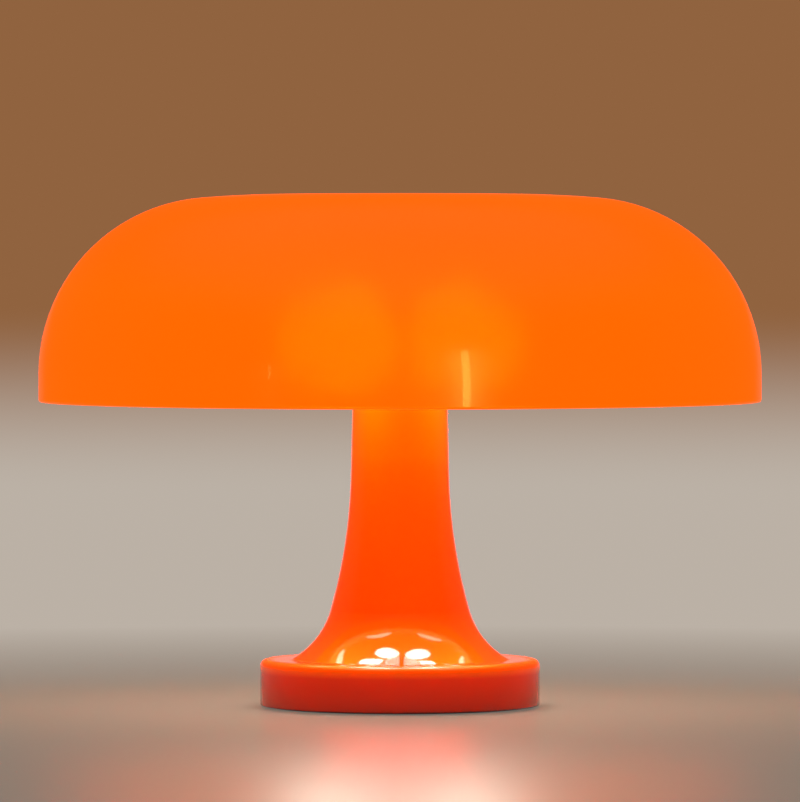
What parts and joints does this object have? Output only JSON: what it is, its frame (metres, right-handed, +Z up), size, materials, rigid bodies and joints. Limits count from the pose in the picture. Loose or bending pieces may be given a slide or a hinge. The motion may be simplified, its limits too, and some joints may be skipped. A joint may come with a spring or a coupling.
{
  "type": "table lamp",
  "caption": "Lit mushroom table lamp: wide flat-topped translucent shade, stem that flares into a round foot, ball bulbs hung in a ring inside.",
  "frame": {"origin": "on the table, under the centre of the foot", "axes": "+Z up through the stem and the crown of the shade, -Y towards the viewer of the picture, +Y through the cord inlet at the back, +X to the right"},
  "size_m": [0.32, 0.32, 0.227],
  "materials": {
    "shade_plastic": "high gloss, translucent, lit from inside",
    "stem_plastic": "high gloss",
    "ballast_iron": "as cast, painted",
    "cover_plastic": "matt",
    "pad_felt": "felt",
    "zinc_steel": "zinc plated",
    "bush_rubber": "matt",
    "block_plastic": "satin",
    "terminal_brass": "satin",
    "bracket_steel": "white powder coat",
    "seat_plastic": "satin",
    "live_insulation": "satin",
    "neutral_insulation": "satin",
    "holder_plastic": "satin",
    "contact_brass": "bright",
    "bulb_glass": "opal, lit",
    "bulb_cap_metal": "bright, rolled thread",
    "bulb_insulator": "black glass",
    "bulb_solder": "soldered"
  },
  "bodies": {
    "base": {"foot_and_stem": "stem_plastic", "ballast_plate": "ballast_iron", "bottom_cover": "cover_plastic", "foot_pad": "pad_felt", "cover_screws": "zinc_steel", "cord_inlet_bush": "bush_rubber", "terminal_block": "block_plastic", "terminal_clamps": "terminal_brass", "terminal_screws": "zinc_steel", "block_screw": "zinc_steel", "tie_tube": "zinc_steel", "tube_nuts": "zinc_steel", "tube_washers": "zinc_steel", "stem_top_cap": "stem_plastic", "holder_bracket": "bracket_steel", "shade_seat": "seat_plastic", "holder_screws": "zinc_steel", "live_leads": "live_insulation", "neutral_leads": "neutral_insulation", "holder_body_1": "holder_plastic", "screw_shell_1": "contact_brass", "centre_contact_1": "contact_brass", "holder_body_2": "holder_plastic", "screw_shell_2": "contact_brass", "centre_contact_2": "contact_brass", "holder_body_3": "holder_plastic", "screw_shell_3": "contact_brass", "centre_contact_3": "contact_brass", "holder_body_4": "holder_plastic", "screw_shell_4": "contact_brass", "centre_contact_4": "contact_brass"},
    "shade": {"shade": "shade_plastic"},
    "bulb_1_end": {"bulb_insulator_1": "bulb_insulator", "bulb_tip_1": "bulb_solder"},
    "bulb_1": {"bulb_glass_1": "bulb_glass", "bulb_cap_1": "bulb_cap_metal"},
    "bulb_2_end": {"bulb_insulator_2": "bulb_insulator", "bulb_tip_2": "bulb_solder"},
    "bulb_2": {"bulb_glass_2": "bulb_glass", "bulb_cap_2": "bulb_cap_metal"},
    "bulb_3_end": {"bulb_insulator_3": "bulb_insulator", "bulb_tip_3": "bulb_solder"},
    "bulb_3": {"bulb_glass_3": "bulb_glass", "bulb_cap_3": "bulb_cap_metal"},
    "bulb_4_end": {"bulb_insulator_4": "bulb_insulator", "bulb_tip_4": "bulb_solder"},
    "bulb_4": {"bulb_glass_4": "bulb_glass", "bulb_cap_4": "bulb_cap_metal"}
  },
  "joints": [
    {"name": "shade_lift", "type": "slide", "parent": "base", "child": "shade", "axis": [0, 0, 1], "range_m": [0, 0.1]},
    {"name": "bulb_1_out", "type": "slide", "parent": "base", "child": "bulb_1_end", "axis": [0.26, -0.1959, -0.9455], "range_m": [0, 0.0156]},
    {"name": "bulb_1_turn", "type": "hinge", "parent": "bulb_1_end", "child": "bulb_1", "pos_m": [0.01773, -0.01336, 0.20972], "axis": [0.26, -0.1959, -0.9455], "range_deg": [0, 1980]},
    {"name": "bulb_2_out", "type": "slide", "parent": "base", "child": "bulb_2_end", "axis": [0.1959, 0.26, -0.9455], "range_m": [0, 0.0156]},
    {"name": "bulb_2_turn", "type": "hinge", "parent": "bulb_2_end", "child": "bulb_2", "pos_m": [0.01336, 0.01773, 0.20972], "axis": [0.1959, 0.26, -0.9455], "range_deg": [0, 1980]},
    {"name": "bulb_3_out", "type": "slide", "parent": "base", "child": "bulb_3_end", "axis": [-0.26, 0.1959, -0.9455], "range_m": [0, 0.0156]},
    {"name": "bulb_3_turn", "type": "hinge", "parent": "bulb_3_end", "child": "bulb_3", "pos_m": [-0.01773, 0.01336, 0.20972], "axis": [-0.26, 0.1959, -0.9455], "range_deg": [0, 1980]},
    {"name": "bulb_4_out", "type": "slide", "parent": "base", "child": "bulb_4_end", "axis": [-0.1959, -0.26, -0.9455], "range_m": [0, 0.0156]},
    {"name": "bulb_4_turn", "type": "hinge", "parent": "bulb_4_end", "child": "bulb_4", "pos_m": [-0.01336, -0.01773, 0.20972], "axis": [-0.1959, -0.26, -0.9455], "range_deg": [0, 1980]}
  ],
  "couplings": [
    {"joint": "bulb_1_out", "follows": "bulb_1_turn", "m_per_rad": 0.00044882},
    {"joint": "bulb_2_out", "follows": "bulb_2_turn", "m_per_rad": 0.00044882},
    {"joint": "bulb_3_out", "follows": "bulb_3_turn", "m_per_rad": 0.00044882},
    {"joint": "bulb_4_out", "follows": "bulb_4_turn", "m_per_rad": 0.00044882}
  ]
}
